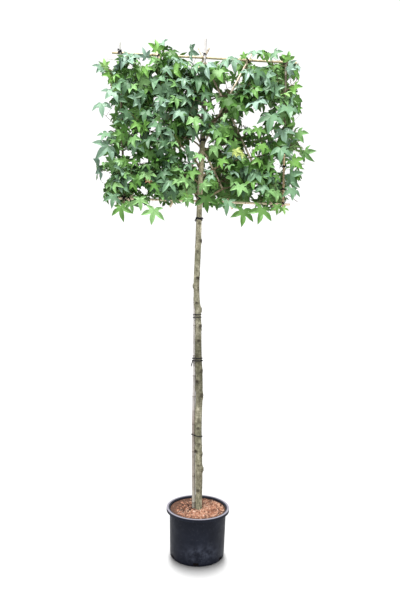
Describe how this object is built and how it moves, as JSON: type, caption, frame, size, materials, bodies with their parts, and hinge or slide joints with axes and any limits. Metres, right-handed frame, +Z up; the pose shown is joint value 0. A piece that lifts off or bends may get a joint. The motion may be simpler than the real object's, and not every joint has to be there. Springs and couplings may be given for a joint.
{
  "type": "potted pleached tree",
  "caption": "Young sweetgum with a bare upright stem and a flat square crown of star-shaped leaves, trained on a bamboo frame and growing in a round black nursery pot.",
  "frame": {"origin": "middle of the pot's flat underside", "axes": "+Z up along the stem, +X to the right along the flat crown, -Y to the front, the side that the picture shows"},
  "size_m": [1.3844, 0.406, 3.3542],
  "materials": {
    "black_plastic": "satin, scuffed and dusty",
    "bark_mulch": "rough loose bark chips",
    "sweetgum_bark": "fine matt bark with small knots",
    "bamboo": "dry satin bamboo",
    "grey_bamboo": "weathered grey bamboo",
    "black_rubber": "dull",
    "sweetgum_leaves": "satin leaves"
  },
  "bodies": {
    "root": {"pot": "black_plastic", "bark_mulch": "bark_mulch", "trunk": "sweetgum_bark", "bough_far_left_high": "sweetgum_bark", "bough_far_left_low": "sweetgum_bark", "bough_far_left_middle": "sweetgum_bark", "bough_far_right_high": "sweetgum_bark", "bough_far_right_low": "sweetgum_bark", "bough_far_right_middle": "sweetgum_bark", "bough_left_high": "sweetgum_bark", "bough_left_low": "sweetgum_bark", "bough_left_middle": "sweetgum_bark", "bough_right_high": "sweetgum_bark", "bough_right_low": "sweetgum_bark", "bough_right_middle": "sweetgum_bark", "foliage_far_left_high": "sweetgum_leaves", "foliage_far_left_low": "sweetgum_leaves", "foliage_far_left_middle": "sweetgum_leaves", "foliage_far_right_high": "sweetgum_leaves", "foliage_far_right_low": "sweetgum_leaves", "foliage_far_right_middle": "sweetgum_leaves", "foliage_left_high": "sweetgum_leaves", "foliage_left_low": "sweetgum_leaves", "foliage_left_middle": "sweetgum_leaves", "foliage_right_high": "sweetgum_leaves", "foliage_right_low": "sweetgum_leaves", "foliage_right_middle": "sweetgum_leaves", "cane_left": "bamboo", "cane_low": "bamboo", "cane_right": "bamboo", "cane_spine": "grey_bamboo", "cane_top": "bamboo", "brace_left_down": "bamboo", "brace_left_up": "bamboo", "brace_right_down": "bamboo", "brace_right_up": "bamboo", "tie_fork": "black_rubber", "tie_low_brace_left_down": "black_rubber", "tie_low_brace_left_up": "black_rubber", "tie_low_brace_right_down": "black_rubber", "tie_low_brace_right_up": "black_rubber", "tie_low_left": "black_rubber", "tie_low_right": "black_rubber", "tie_low_trunk": "black_rubber", "tie_shoot_1": "black_rubber", "tie_shoot_2": "black_rubber", "tie_top_brace_left_up": "black_rubber", "tie_top_brace_right_up": "black_rubber", "tie_top_left": "black_rubber", "tie_top_middle": "black_rubber", "tie_top_right": "black_rubber", "tie_trunk_1": "black_rubber", "tie_trunk_2": "black_rubber", "tie_trunk_3": "black_rubber", "tie_trunk_4": "black_rubber", "tie_trunk_5": "black_rubber", "tie_trunk_6": "black_rubber"}
  },
  "joints": []
}
